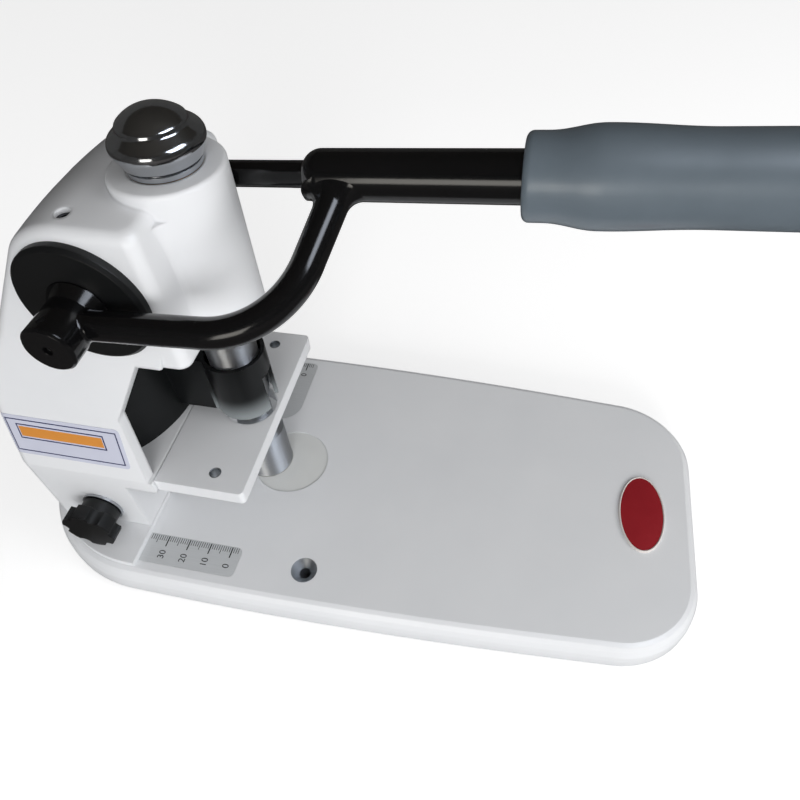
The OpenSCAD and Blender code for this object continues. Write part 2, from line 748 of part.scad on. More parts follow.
module stripper_plate() color(white) placed() difference() {
    union() {
        translate([0, 0, gap_h]) linear_extrude(plate_t) rounded_front(shelf_x + seam, plate_front,
            -plate_half_w, plate_half_w, plate_corner_r, plate_corner_r);
        translate([shelf_x - tongue_l, -tongue_half_w, gap_h])
            cube([tongue_l + over, 2 * tongue_half_w, plate_t / 2]);
    }
    translate([0, 0, gap_h - over]) cylinder(d = punch_d + 2 * slide_gap, h = plate_t + 2 * over);
    for (s = [-1, 1]) translate([stop_hole_x, s * stop_hole_y, gap_h - over])
        cylinder(d = stop_hole_d, h = plate_t + 2 * over);
    plate_screws_at() {
        translate([0, 0, -over]) cylinder(d = plate_screw_d, h = plate_t);
        cylinder(d1 = 2 * plate_screw_d, d2 = plate_screw_d, h = plate_screw_d / 2);
    }
}

module plate_screws() color(steel) placed() plate_screws_at() difference() {
    union() {
        cylinder(d = plate_screw_d, h = plate_t - screw_cover);
        cylinder(d1 = 2 * plate_screw_d, d2 = plate_screw_d, h = plate_screw_d / 2);
    }
    translate([0, 0, -over]) cylinder(d = plate_screw_d * socket, h = over + plate_screw_d / 3, $fn = 6);
}

// Chip guard: bin in the hollow spine with a bowed front, a duct and a notched shell round the quill.
module guard_bin(d) intersection() {
    spine_hollow(guard_gap + d);
    translate([guard_front - guard_bow_r, 0, shelf_z + d])
        cylinder(r = guard_bow_r - d, h = guard_top - shelf_z - 2 * d);
}

module duct(d) translate([guard_front - 2 * guard_wall, -duct_w / 2 + d, shell_low + d])
    cube([-guard_front + 2 * guard_wall, duct_w - 2 * d, shell_top - shell_low - 2 * d]);

module chip_guard() color("#26272B") placed() difference() {
    union() {
        guard_bin(0);
        duct(0);
        translate([0, 0, shell_low]) cylinder(d = shell_d, h = shell_top - shell_low);
    }
    guard_bin(guard_wall);
    duct(guard_wall);
    translate([0, 0, shell_low - over]) {
        cylinder(d = shell_d - 2 * guard_wall, h = shell_top - shell_low + 2 * over);
        linear_extrude(notch_h + over) polygon([[0, 0], polar(shell_d, -notch_a), polar(shell_d, notch_a)]);
    }
}

// Quill: round bar with rack teeth at its back, hollow below for the chips, threaded for the cap above.
module rack_groove() {
    w = pitch / 4 + flank_gap;
    t = tan(press_a);
    deep = tooth_root * tooth_m;
    high = tooth_m + over;
    side_profile(quill_d) polygon([[rack_x - high, -w - high * t], [rack_x - high, w + high * t],
        [rack_x + deep, w - deep * t], [rack_x + deep, -w + deep * t]]);
}

module quill() color(chrome) placed() {
    down = ceil((travel + rack_spare) / pitch);
    up = floor(rack_spare / pitch) + 1;
    difference() {
        union() {
            translate([0, 0, quill_low]) cylinder(d = quill_d, h = quill_top - quill_low);
            translate([0, 0, quill_top]) cylinder(d = quill_neck_d, h = quill_neck_l);
        }
        translate([0, 0, quill_low - over]) cylinder(d = quill_bore_d, h = quill_hollow + over);
        translate([-quill_d, -window_w / 2, quill_low + window_up]) cube([quill_d, window_w, window_h]);
        translate([-quill_d + rack_x - tooth_m, -quill_d, shaft_z - (down + 0.5) * pitch])
            cube([quill_d, 2 * quill_d, (down + up + 1) * pitch]);
        for (i = [-down:up]) translate([0, 0, shaft_z + i * pitch]) rack_groove();
        punch_screw_at() cylinder(d = punch_screw_d, h = quill_d);
    }
}

module punch_screw_at() translate([0, -quill_bore_d / 2, quill_low + shank_l / 2])
    rotate([90, 0, 0]) children();

module punch_screw() color(steel) placed() punch_screw_at() difference() {
    cylinder(d = punch_screw_d, h = (quill_d - quill_bore_d) / 2 - slide_gap);
    translate([0, 0, over]) cylinder(d = punch_screw_d / 2, h = quill_d, $fn = 6);
}

module punch() color(chrome) placed() difference() {
    r = punch_d / 2;
    bore_r = punch_bore_d / 2;
    neck_r = punch_neck_d / 2;
    shank_r = quill_bore_d / 2;
    in_r = shank_r - shank_wall;
    shank_z = quill_low + shank_l;
    rotate_extrude() polygon([[r - edge_w, punch_low], [r, punch_low], [r, shoulder_z],
        [neck_r, shoulder_z + shoulder_h], [neck_r, quill_low], [shank_r, quill_low], [shank_r, shank_z],
        [in_r, shank_z], [in_r, shoulder_z], [bore_r, shoulder_z - bore_r + in_r],
        [bore_r, punch_low + bevel_h]]);
    translate([relief_x - punch_d, -punch_d, punch_low - over]) cube([punch_d, 2 * punch_d, relief_h + over]);
}

module cap() color(chrome) placed() translate([0, 0, cap_foot]) difference() {
    dome_h = cap_h - cap_dome_z;
    neck_r = cap_neck_d / 2;
    dome_r = (pow(cap_button_d / 2, 2) + pow(dome_h, 2)) / (2 * dome_h);
    dome_a = asin(1 - dome_h / dome_r);
    roll_c = [cap_d / 2 - cap_roll, cap_rim_z];
    bowl_top = roll_c + polar(cap_roll, -cap_lean);
    edge_c = [cap_button_d / 2, cap_dome_z] - polar(cap_soft, dome_a);
    hollow_c = edge_c + polar(2 * cap_soft, cap_button_lean);
    rotate_extrude() polygon(concat([[0, 0], [neck_r, 0], [neck_r, cap_neck_h],
        [neck_r - cap_groove, cap_neck_h], [neck_r - cap_groove, cap_bowl_z],
        [bowl_top[0] - (bowl_top[1] - cap_bowl_z) * tan(cap_lean), cap_bowl_z]],
        arc(roll_c, cap_roll, -cap_lean, dome_a),
        arc(hollow_c, cap_soft, 180 + dome_a, 180 + cap_button_lean, cap_soft_n),
        [for (i = [1:cap_soft_n - 1]) edge_c + polar(cap_soft,
            cap_button_lean + (dome_a - cap_button_lean) * i / cap_soft_n)],
        arc([0, cap_h - dome_r], dome_r, dome_a, 90)));
    translate([0, 0, -over]) cylinder(d = quill_d, h = cap_seat + over);
    cylinder(d = quill_neck_d, h = cap_seat + quill_neck_l);
}

// Pinion with involute teeth, keyed to the shaft; one tooth points at the rack at rest.
function flank(rb, t) = rb * sqrt(1 + pow(t, 2));
function flank_a(t) = t * 180 / PI - atan(t);

module pinion_outline() {
    rb = pitch_r * cos(press_a);
    ra = pitch_r + tooth_m;
    rr = pitch_r - tooth_root * tooth_m;
    t1 = sqrt(pow(ra / rb, 2) - 1);
    half = 90 / teeth - flank_gap / pitch_r * 180 / PI + flank_a(tan(press_a));
    n = 5;
    polygon([for (i = [0:teeth - 1]) each concat([polar(rr, i * 360 / teeth - half)],
        [for (j = [0:n]) polar(flank(rb, t1 * j / n), i * 360 / teeth - half + flank_a(t1 * j / n))],
        [for (j = [n:-1:0]) polar(flank(rb, t1 * j / n), i * 360 / teeth + half - flank_a(t1 * j / n))],
        [polar(rr, i * 360 / teeth + half)])]);
}

module key_at() at_shaft() rotate([0, -90, 0])
    translate([(shaft_d - key_w) / 2, -key_l / 2, -key_w / 2]) cube([key_w, key_l, key_w]);

module pinion() color(steel) placed() difference() {
    at_shaft() rotate([90, 0, 0]) translate([0, 0, -pinion_w / 2]) linear_extrude(pinion_w) difference() {
        pinion_outline();
        circle(d = shaft_d);
    }
    key_at();
}

module pinion_key() color(steel) placed() key_at();

module pinion_shaft() color(steel) placed() difference() {
    at_shaft() across(shaft_d / 2, hub_wall - hub_out, hub_out - hub_wall);
    key_at();
    hub_pins_at() cylinder(d = pin_d, h = hub_d, center = true);
}

// Lever: hubs pinned to the shaft, two bent arms welded to hub and tube, soft grip on the tube.
module hub_pins_at() for (s = [-1, 1])
    on_lever() translate([0, s * (arm_y + arm_d / 2 + hub_out - hub_wall) / 2, 0]) children();

module hub_body() rotate([90, 0, 0]) {
    translate([0, 0, hub_in]) {
        cylinder(d1 = collar_d, d2 = hub_d, h = collar_h);
        cylinder(d = hub_d, h = hub_out - hub_edge - hub_in);
    }
    translate([0, 0, hub_out - hub_edge]) cylinder(d1 = hub_d, d2 = hub_d - 2 * hub_edge, h = hub_edge);
}

module hub() difference() {
    on_lever() difference() {
        hub_body();
        rotate([90, 0, 0]) cylinder(d = shaft_d, h = hub_out - hub_wall);
        rotate([90, 0, 0]) cylinder(d = hub_hole_d, h = hub_out + over);
    }
    hub_pins_at() cylinder(d = pin_d, h = 2 * hub_d, center = true);
}

module arm() on_lever() difference() {
    translate([0, -arm_y, 0]) rotate([arm_tilt, 0, 0]) {
        rotate([0, 90, 0]) cylinder(d = arm_d, h = arm_u1 + over);
        translate([arm_u1, arm_bend_r, 0]) {
            rotate([0, 0, -90]) rotate_extrude(angle = arm_bend) translate([arm_bend_r, 0])
                circle(d = arm_d + thin);
            rotate([0, 0, arm_bend - 90]) translate([arm_bend_r, -over, 0]) rotate([-90, 0, 0])
                cylinder(d = arm_d, h = arm_l2 + over);
        }
    }
    hub_body();
    along_lever(0) cylinder(d = tube_d, h = grip_u);
}

module near_hub() color(black) placed() hub();
module far_hub() color(black) placed() mirror([0, 1, 0]) hub();
module hub_pins() color(steel) placed() hub_pins_at()
    cylinder(d = pin_d, h = hub_d - slide_gap, center = true);
module near_arm() color(black) placed() arm();
module far_arm() color(black) placed() mirror([0, 1, 0]) arm();

module lever_tube() color(black) placed() on_lever() along_lever(tube_u) rotate_extrude() {
    l = grip_u + grip_l - grip_wall - tube_u;
    r = tube_d / 2;
    polygon(concat([[0, 0]], arc([r - tube_round, tube_round], tube_round, -90, 0),
        [[r, l], [r - tube_wall, l], [r - tube_wall, tube_round], [0, tube_round]]));
}

// Half a cosine wave from radius r0 at height z0 to radius r1 at height z1.
function wave(r0, r1, z0, z1, n = 12) = [for (i = [0:n])
    [(r0 + r1) / 2 + (r0 - r1) / 2 * cos(180 * i / n), z0 + (z1 - z0) * i / n]];

module grip() color("#5A6264") placed() on_lever() along_lever(grip_u) difference() {
    rotate_extrude() polygon(concat([[0, 0]], arc([lip_d / 2 - lip_round, lip_round], lip_round, -90, 0),
        wave(lip_d / 2, swell_d / 2, lip_l, swell_at), wave(swell_d / 2, grip_d / 2, swell_at, handle_at),
        arc([grip_d / 2 - grip_round, grip_l - grip_round], grip_round, 0, 90), [[0, grip_l]]));
    translate([0, 0, -over]) cylinder(d = tube_d, h = grip_l - grip_wall + over);
}

// Back gauge: two fingers on a bridge, sliding out of the block; a star knob clamps the near finger.
module gauge() color(steel) placed() {
    for (s = [-1, 1]) translate([wall_x - gauge_l, s < 0 ? -finger_out : finger_in, pocket_low + slide_gap])
        cube([gauge_l, finger_out - finger_in, finger_h]);
    translate([wall_x - gauge_l, -finger_out, pocket_low + slide_gap])
        cube([bridge_l, 2 * finger_out, finger_h]);
}

module stud_at() translate([knob_x, -block_half_w, knob_z]) children();

module gauge_knob() color(black) placed() translate([knob_x, knob_y, knob_z]) rotate([90, 0, 0])
    difference() {
        union() {
            linear_extrude(knob_l) difference() {
                circle(d = knob_d);
                for (i = [0:knob_lobes - 1]) rotate(360 * i / knob_lobes)
                    translate([knob_d / 2 + knob_hollow_d / 5, 0]) circle(d = knob_hollow_d);
            }
            translate([0, 0, -knob_hub_l]) cylinder(d = knob_hub_d, h = knob_hub_l);
        }
        translate([0, 0, -knob_hub_l - over]) cylinder(d = stud_d, h = stud_in + knob_hub_l + over);
    }

module clamp_stud() color(steel) placed() stud_at()
    across(stud_d / 2, knob_y + block_half_w - stud_in, block_half_w - finger_out - slide_gap);

module clamp_washer() color(steel) placed() stud_at() difference() {
    across(washer_d / 2, -washer_t, 0);
    across(stud_d / 2 + run_gap, -2 * washer_t, over);
}

base_plate();
rubber_feet();
frame_casting();
frame_bolts();
stripper_plate();
plate_screws();
cutting_disc();
near_ruler();
far_ruler();
chip_guard();
near_flange();
far_flange();
near_bearing();
far_bearing();
grub_screws();
upper_bush();
lower_bush();
quill();
punch();
punch_screw();
cap();
pinion_shaft();
pinion();
pinion_key();
near_hub();
far_hub();
hub_pins();
near_arm();
far_arm();
lever_tube();
grip();
gauge();
gauge_knob();
clamp_stud();
clamp_washer();
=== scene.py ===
import json
import math

import bmesh
import bpy
import numpy as np
from mathutils import Matrix, Vector


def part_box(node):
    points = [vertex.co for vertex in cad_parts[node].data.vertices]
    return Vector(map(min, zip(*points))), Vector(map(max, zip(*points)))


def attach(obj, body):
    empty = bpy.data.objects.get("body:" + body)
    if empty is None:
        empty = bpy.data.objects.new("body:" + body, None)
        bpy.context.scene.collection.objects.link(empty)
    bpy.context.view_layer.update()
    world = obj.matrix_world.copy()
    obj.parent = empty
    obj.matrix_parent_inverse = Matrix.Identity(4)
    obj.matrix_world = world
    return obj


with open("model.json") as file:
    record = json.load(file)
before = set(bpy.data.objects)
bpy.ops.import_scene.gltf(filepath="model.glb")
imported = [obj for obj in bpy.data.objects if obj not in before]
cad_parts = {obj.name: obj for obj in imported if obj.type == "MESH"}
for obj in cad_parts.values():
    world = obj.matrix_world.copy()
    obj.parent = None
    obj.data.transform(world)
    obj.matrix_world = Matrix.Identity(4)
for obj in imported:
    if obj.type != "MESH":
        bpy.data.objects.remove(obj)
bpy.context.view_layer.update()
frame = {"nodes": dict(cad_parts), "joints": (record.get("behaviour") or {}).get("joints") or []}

# Base: a long bowed plate of cast aluminium, rounded over at its edge, with a raised pad for the frame.
# It is sprayed with white powder and baked. The bench hole was countersunk after that, so bare aluminium
# shows in it.
MM = 0.001
PUNCH_X = (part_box("cap")[0].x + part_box("cap")[1].x) / 2
TABLE_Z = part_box("far_ruler")[1].z


def at(x, y, z):
    """Metres in the part's frame, from millimetres counted from where the punch axis meets the table."""
    return np.stack(np.broadcast_arrays(PUNCH_X + np.asarray(x) * MM, np.asarray(y) * MM,
                                        TABLE_Z + np.asarray(z) * MM), axis=-1)


def linear(hex_colour):
    """Linear RGBA from an sRGB hex colour, by the sRGB curve."""
    c = np.array([int(hex_colour[i:i + 2], 16) for i in (1, 3, 5)]) / 255
    c = np.where(c <= 0.04045, c / 12.92, ((c + 0.055) / 1.055) ** 2.4)
    return (*c.tolist(), 1.0)


def add(tree, kind, settings=None, **inputs):
    """Adds one node with its properties; inputs are values or links, by socket name or by i and number."""
    node = tree.nodes.new(kind)
    for key, value in (settings or {}).items():
        setattr(node, key, value)
    for key, value in inputs.items():
        socket = node.inputs[int(key[1:]) if key[1:].isdigit() else key.replace("_", " ")]
        if isinstance(value, bpy.types.NodeSocket):
            tree.links.new(value, socket)
        else:
            socket.default_value = value
    return node


def finish(name, **values):
    """New material whose Principled shader has these socket values; gives it, its tree and shader."""
    material = bpy.data.materials.new(name)
    material.use_nodes = True
    shader = material.node_tree.nodes["Principled BSDF"]
    for key, value in values.items():
        shader.inputs[key.replace("_", " ")].default_value = value
    return material, material.node_tree, shader


EDGE_SAMPLES = 4


def coated(name, light, dark, cloud, grain, depth, edge, **values):
    """Painted or moulded skin, sizes in mm: two tints in clouds, a bump of grains, and rounded edges."""
    material, tree, shader = finish(name, **values)
    place = add(tree, "ShaderNodeTexCoord").outputs["Object"]
    clouds = add(tree, "ShaderNodeTexNoise", Vector=place, Scale=1 / (cloud * MM), Detail=3.0)
    grains = add(tree, "ShaderNodeTexNoise", Vector=place, Scale=1 / (grain * MM), Detail=2.0)
    tint = add(tree, "ShaderNodeMix", {"data_type": "RGBA"}, i0=clouds.outputs["Fac"],
               i6=linear(dark), i7=linear(light)).outputs[2]
    soft = add(tree, "ShaderNodeBevel", {"samples": EDGE_SAMPLES}, Radius=edge * MM)
    bump = add(tree, "ShaderNodeBump", Strength=1.0, Distance=depth * MM, Height=grains.outputs["Fac"],
               Normal=soft.outputs["Normal"])
    tree.links.new(tint, shader.inputs["Base Color"])
    tree.links.new(bump.outputs["Normal"], shader.inputs["Normal"])
    return material, tree, shader, place, tint


def dress(material, *names):
    """Gives CAD nodes this material in place of their plain one."""
    for name in names:
        mesh = frame["nodes"][name].data
        mesh.materials.clear()
        mesh.materials.append(material)


def upright_distance(tree, place, x, y):
    """Distance of a point from the upright line at x, y: its own x and y, with the height set to nothing."""
    level = add(tree, "ShaderNodeVectorMath", {"operation": "MULTIPLY"}, i0=place, i1=(1, 1, 0))
    return add(tree, "ShaderNodeVectorMath", {"operation": "DISTANCE"}, i0=level.outputs[0],
               i1=(x, y, 0)).outputs["Value"]


def bare_round(tree, shader, place, tint, spots, r, metal, coat_rough, metal_rough):
    """Bare metal within r of the upright line at each spot; the coat's tint and roughness elsewhere."""
    bare = 0.0
    for x, y, _ in spots:
        away = upright_distance(tree, place, x, y)
        inside = add(tree, "ShaderNodeMath", {"operation": "LESS_THAN"}, i0=away, i1=r)
        bare = add(tree, "ShaderNodeMath", {"operation": "MAXIMUM"}, i0=inside.outputs[0], i1=bare).outputs[0]
    mixed = add(tree, "ShaderNodeMix", {"data_type": "RGBA"}, i0=bare, i6=tint, i7=linear(metal))
    rough = add(tree, "ShaderNodeMapRange", i0=bare, i3=coat_rough, i4=metal_rough)
    tree.links.new(mixed.outputs[2], shader.inputs["Base Color"])
    tree.links.new(bare, shader.inputs["Metallic"])
    tree.links.new(rough.outputs[0], shader.inputs["Roughness"])


# Baked powder flows into a satin skin with a faint orange peel and slightly swollen edges.
POWDER = {"light": "#EEEFF1", "dark": "#E3E5E8", "cloud": 40, "grain": 1.3, "depth": 0.012, "edge": 0.7}
POWDER_ROUGH = 0.36
COAT_IOR = 1.5
base_coat, tree, shader, place, tint = coated("powder_coat_white_countersunk", **POWDER, IOR=COAT_IOR)
SINK_X, SINK_Y, SINK_R = 33.8, -53.2, 5.6
SINK_METAL, SINK_ROUGH = "#B4B7BA", 0.5
sinks = [at(SINK_X, SINK_Y, 0)]
bare_round(tree, shader, place, tint, sinks, SINK_R * MM, SINK_METAL, POWDER_ROUGH, SINK_ROUGH)
dress(base_coat, "base_plate")

# Rubber feet: four moulded buttons pressed into seats under the base.
# Black rubber, dull from the rough mould, a little greyer where it has rubbed.
rubber, *_ = coated("moulded_rubber_black", "#2A2A2B", "#161617", cloud=9, grain=0.5, depth=0.05, edge=0.6,
                    Roughness=0.85, IOR=1.52)
dress(rubber, "rubber_feet")

# Rulers: two pieces of satin chromed steel sheet, let into the table flush and glued.
# The satin plate scatters light so widely that it looks like grey card, with a faint brushing along it.
METAL_EDGE = 0.25
NOISE_LOW, NOISE_HIGH = 0.3, 0.7


def machined(name, light, dark, lines, rough_low, rough_high, depth, **values):
    """Metal cut or brushed in lines: noise stretched to three line sizes in mm, in tint, gloss and bump."""
    material, tree, shader = finish(name, **{"Metallic": 1.0, **values})
    place = add(tree, "ShaderNodeTexCoord").outputs["Object"]
    drawn = add(tree, "ShaderNodeMapping", Vector=place, Scale=[1 / (size * MM) for size in lines])
    noise = add(tree, "ShaderNodeTexNoise", Vector=drawn.outputs[0], Scale=1.0, Detail=4.0)
    tint = add(tree, "ShaderNodeMix", {"data_type": "RGBA"}, i0=noise.outputs["Fac"],
               i6=linear(dark), i7=linear(light)).outputs[2]
    rough = add(tree, "ShaderNodeMapRange", i0=noise.outputs["Fac"], i1=NOISE_LOW, i2=NOISE_HIGH,
                i3=rough_low, i4=rough_high)
    soft = add(tree, "ShaderNodeBevel", {"samples": EDGE_SAMPLES}, Radius=METAL_EDGE * MM)
    bump = add(tree, "ShaderNodeBump", Strength=1.0, Distance=depth * MM, Height=noise.outputs["Fac"],
               Normal=soft.outputs["Normal"])
    tree.links.new(tint, shader.inputs["Base Color"])
    tree.links.new(rough.outputs[0], shader.inputs["Roughness"])
    tree.links.new(bump.outputs["Normal"], shader.inputs["Normal"])
    return material, tree, shader, place, tint


ruler_steel, *_ = machined("satin_chrome_sheet", "#DADCDE", "#C9CCCE", lines=(14, 0.35, 0.35),
                           rough_low=0.42, rough_high=0.55, depth=0.004, Metallic=0.2)
dress(ruler_steel, "near_ruler", "far_ruler")

# Ruler marks: millimetre lines and numbers etched into the sheet and filled with black.
# A long line stands at every 10 mm, a middle one at every 5 mm, and zero lies under the punch axis.


def add_piece(name, mesh, material, body):
    """Links a finished mesh, with the material given to it, as a piece that rides on a body."""
    mesh.materials.append(material)
    piece = bpy.data.objects.new(name, mesh)
    bpy.context.scene.collection.objects.link(piece)
    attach(piece, body)


def boxes(name, low, high):
    """Mesh of one flat box for each pair of corners: every box is the unit cube stretched between them."""
    unit = np.array([[i, j, k] for i in (0, 1) for j in (0, 1) for k in (0, 1)])
    faces = np.array([[0, 1, 3, 2], [4, 6, 7, 5], [0, 4, 5, 1], [2, 3, 7, 6], [0, 2, 6, 4], [1, 5, 7, 3]])
    points = low[:, None, :] + unit[None] * (high - low)[:, None, :]
    count = len(low)
    mesh = bpy.data.meshes.new(name)
    mesh.from_pydata(points.reshape(-1, 3).tolist(), [],
                     (faces[None] + len(unit) * np.arange(count)[:, None, None]).reshape(-1, 4).tolist())
    return mesh


ink, *_ = coated("etch_filled_black", "#26282A", "#17181A", cloud=2, grain=0.2, depth=0.004, edge=0.05,
                 Roughness=0.5, IOR=1.5)
INK_LOW, INK_HIGH = -0.03, 0.03
MARK_FROM, MARK_TO = -38, 3
NEAR_INNER, FAR_OUTER = -48.5, 63.3
TEN_L, FIVE_L, ONE_L, EDGE_GAP = 5.4, 4.2, 2.9, 0.4
TEN_HALF_W, ONE_HALF_W = 0.26, 0.13


def marks(name, edge):
    """Millimetre lines from an edge of a ruler towards -y: what a number divides by sets its line length."""
    x = np.arange(MARK_FROM, MARK_TO + 1)
    tens, fives = x % 10 == 0, x % 5 == 0
    length = np.where(tens, TEN_L, np.where(fives, FIVE_L, ONE_L))
    half = np.where(tens, TEN_HALF_W, ONE_HALF_W)
    return boxes(name, at(x - half, edge - length, INK_LOW), at(x + half, edge - EDGE_GAP, INK_HIGH))


DIGIT_H = 2.9
DIGIT_SHARE = 0.7
MERGE = 1e-7


def numbers(name, texts, spots, turn):
    """One mesh of numbers: each is a flat outline made solid, then turned about z and put on its spot."""
    whole = bmesh.new()
    for text, spot in zip(texts, spots):
        curve = bpy.data.curves.new(name, "FONT")
        curve.body, curve.align_x, curve.align_y = text, "CENTER", "CENTER"
        curve.size, curve.extrude = DIGIT_H * MM / DIGIT_SHARE, INK_HIGH * MM
        word = bpy.data.objects.new(name, curve)
        mesh = bpy.data.meshes.new_from_object(word)
        mesh.transform(Matrix.Translation(spot) @ Matrix.Rotation(turn, 4, "Z"))
        whole.from_mesh(mesh)
        bpy.data.objects.remove(word)
        bpy.data.meshes.remove(mesh)
    mesh = bpy.data.meshes.new(name)
    bmesh.ops.remove_doubles(whole, verts=whole.verts, dist=MERGE)
    whole.to_mesh(mesh)
    whole.free()
    return mesh


TENS = np.array([-30, -20, -10, 0])
NUMBERS = [str(-ten) for ten in TENS]
NEAR_DROP, FAR_DROP = 9.3, 8.6
for side, edge, drop in (("near", NEAR_INNER, NEAR_DROP), ("far", FAR_OUTER, FAR_DROP)):
    lines, digits = f"{side}_ruler_lines", f"{side}_ruler_numbers"
    add_piece(lines, marks(lines, edge), ink, "frame")
    spots = at(TENS, edge - drop, 0.0)
    add_piece(digits, numbers(digits, NUMBERS, spots, math.pi / 2), ink, "frame")

# Oval badge: a small domed plate of red enamel with a pale rim, glued to the front of the table.
# It carries nothing; the enamel is smooth and glassy, and the rim is white plastic.


def surface(name, grid, wrap=(False, False), sharp=40, **attributes):
    """Mesh of points[u, v]: quads join neighbours, a wrapped direction closes, equal points are merged."""
    n, m = grid.shape[:2]
    i, j = np.meshgrid(np.arange(n - (not wrap[0])), np.arange(m - (not wrap[1])), indexing="ij")
    i1, j1 = (i + 1) % n, (j + 1) % m
    quads = np.stack([i * m + j, i1 * m + j, i1 * m + j1, i * m + j1], axis=-1).reshape(-1, 4)
    mesh = bpy.data.meshes.new(name)
    mesh.from_pydata(grid.reshape(-1, 3).tolist(), [], quads.tolist())
    for key, values in attributes.items():
        mesh.attributes.new(key, "FLOAT_VECTOR", "POINT").data.foreach_set("vector", values.reshape(-1))
    shell = bmesh.new()
    shell.from_mesh(mesh)
    bmesh.ops.remove_doubles(shell, verts=shell.verts, dist=MERGE)
    bmesh.ops.recalc_face_normals(shell, faces=shell.faces)
    shell.to_mesh(mesh)
    shell.free()
    mesh.polygons.foreach_set("use_smooth", np.ones(len(mesh.polygons), bool))
    mesh.set_sharp_from_angle(angle=math.radians(sharp))
    return mesh


# The face is a paraboloid over an ellipse, closed from below. The rim is a half-round bead carried round it.
BADGE_X, BADGE_A, BADGE_B = 171.7, 8.9, 18.2
BADGE_EDGE, BADGE_CROWN, BADGE_SINK = 0.7, 0.5, -0.05
BADGE_SIDES, DOME_RINGS = 96, 14
turn = np.linspace(0, 2 * math.pi, BADGE_SIDES, endpoint=False)
share = np.concatenate([np.linspace(0, 1, DOME_RINGS), [1, 0]])
rise = np.concatenate([BADGE_EDGE + BADGE_CROWN * (1 - share[:DOME_RINGS] ** 2), [BADGE_SINK, BADGE_SINK]])
dome = at(BADGE_X + BADGE_A * share[:, None] * np.cos(turn), BADGE_B * share[:, None] * np.sin(turn),
          rise[:, None])
enamel, *_ = coated("fired_enamel_red", "#A3242C", "#8C1B24", cloud=12, grain=2.5, depth=0.006, edge=0.3,
                    Roughness=0.2, IOR=1.52)
add_piece("badge_face", surface("badge_face", dome, (False, True)), enamel, "frame")
RIM_W, RIM_H, RIM_LAP, RIM_SIDES = 1.0, 0.95, 0.1, 16
bead = np.linspace(0, 2 * math.pi, RIM_SIDES, endpoint=False)
wide = RIM_W / 2 * (1 + np.cos(bead))
tall = np.maximum(BADGE_SINK, RIM_H * np.sin(bead))
rim = at(BADGE_X + (BADGE_A - RIM_LAP + wide[:, None]) * np.cos(turn),
         (BADGE_B - RIM_LAP + wide[:, None]) * np.sin(turn), tall[:, None])
pale_rim, *_ = coated("moulded_rim_pale", "#E6E0DC", "#D9D2CE", cloud=6, grain=0.6, depth=0.01, edge=0.2,
                      Roughness=0.4, IOR=1.5)
add_piece("badge_rim", surface("badge_rim", rim, (True, True)), pale_rim, "frame")

# Cutting disc: a thick round blank of natural nylon, loose in its pocket so that it can be turned.
# The punch leaves a half-round cut in it, under its cutting edge.
CUT_X, CUT_R, CUT_W, CUT_DEPTH = -2, 10.85, 0.16, 0.12
CUT_STAIN, CUT_STRENGTH = "#B9B8B4", 0.8
nylon, tree, shader, place, tint = coated("turned_nylon_natural", "#E4E5E3", "#D8DAD9", cloud=14, grain=0.7,
                                          depth=0.008, edge=0.4, Roughness=0.42, IOR=1.53)
split = add(tree, "ShaderNodeSeparateXYZ", Vector=place)
away = upright_distance(tree, place, PUNCH_X, 0)
ring = add(tree, "ShaderNodeMath", {"operation": "COMPARE"}, i0=away, i1=CUT_R * MM, i2=CUT_W * MM)
front = add(tree, "ShaderNodeMath", {"operation": "GREATER_THAN"}, i0=split.outputs["X"],
            i1=PUNCH_X + CUT_X * MM)
cuts = add(tree, "ShaderNodeMath", {"operation": "MULTIPLY"}, i0=ring.outputs[0],
           i1=front.outputs[0]).outputs[0]
stain = add(tree, "ShaderNodeMix", {"data_type": "RGBA"}, i0=cuts, i6=tint, i7=linear(CUT_STAIN))
groove = add(tree, "ShaderNodeBump", {"invert": True}, Strength=CUT_STRENGTH, Distance=CUT_DEPTH * MM,
             Height=cuts)
tree.links.new(stain.outputs[2], shader.inputs["Base Color"])
tree.links.new(groove.outputs["Normal"], shader.inputs["Normal"])
dress(nylon, "cutting_disc")

# Frame: the hollow spine, the head and the quill column, in one aluminium casting in the same white powder.
# Its edges were tumbled, so they are softer than the base's. Four zinc plated bolts hold it from below.
TUMBLED_EDGE = 1.6
coat, *_ = coated("powder_coat_white", **{**POWDER, "edge": TUMBLED_EDGE}, Roughness=POWDER_ROUGH,
                  IOR=COAT_IOR)
dress(coat, "frame_casting")
zinc, *_ = machined("zinc_plated_steel", "#C9CCD0", "#A4A8AC", lines=(0.9, 0.9, 0.5), rough_low=0.25,
                    rough_high=0.42, depth=0.006)
dress(zinc, "frame_bolts")

# Label: a blank printed film with round corners, on the near cheek of the spine and round its rear corner.
# Pale silver lavender with a thin dark blue frame line and one plain amber band in a box of the same blue.
CHEEK_Y, CHEEK_Z, CHEEK_LEAN = 46.6, 40, 15 / 61.1
CORNER_X, CORNER_R = -80.5, 5.5
LABEL_FRONT, LABEL_REAR, LABEL_LOW, LABEL_HIGH = -32, -83.4, 46.4, 65.6
LABEL_CORNER, LABEL_T, LABEL_SINK, TINY = 1.8, 0.2, 0.02, 1e-6
FILM_COLUMNS, FILM_ROWS = 65, 9


def cheek(s, z, out):
    """Point over the cheek, in mm: s is x up to the corner, then runs round its arc; out is the height."""
    half = CHEEK_Y - CHEEK_LEAN * (z - CHEEK_Z)
    turn = np.maximum(0, CORNER_X - s) / CORNER_R
    x = np.maximum(s, CORNER_X) - (CORNER_R + out) * np.sin(turn)
    return at(x, -(half - CORNER_R + (CORNER_R + out) * np.cos(turn)), z + CHEEK_LEAN * out)


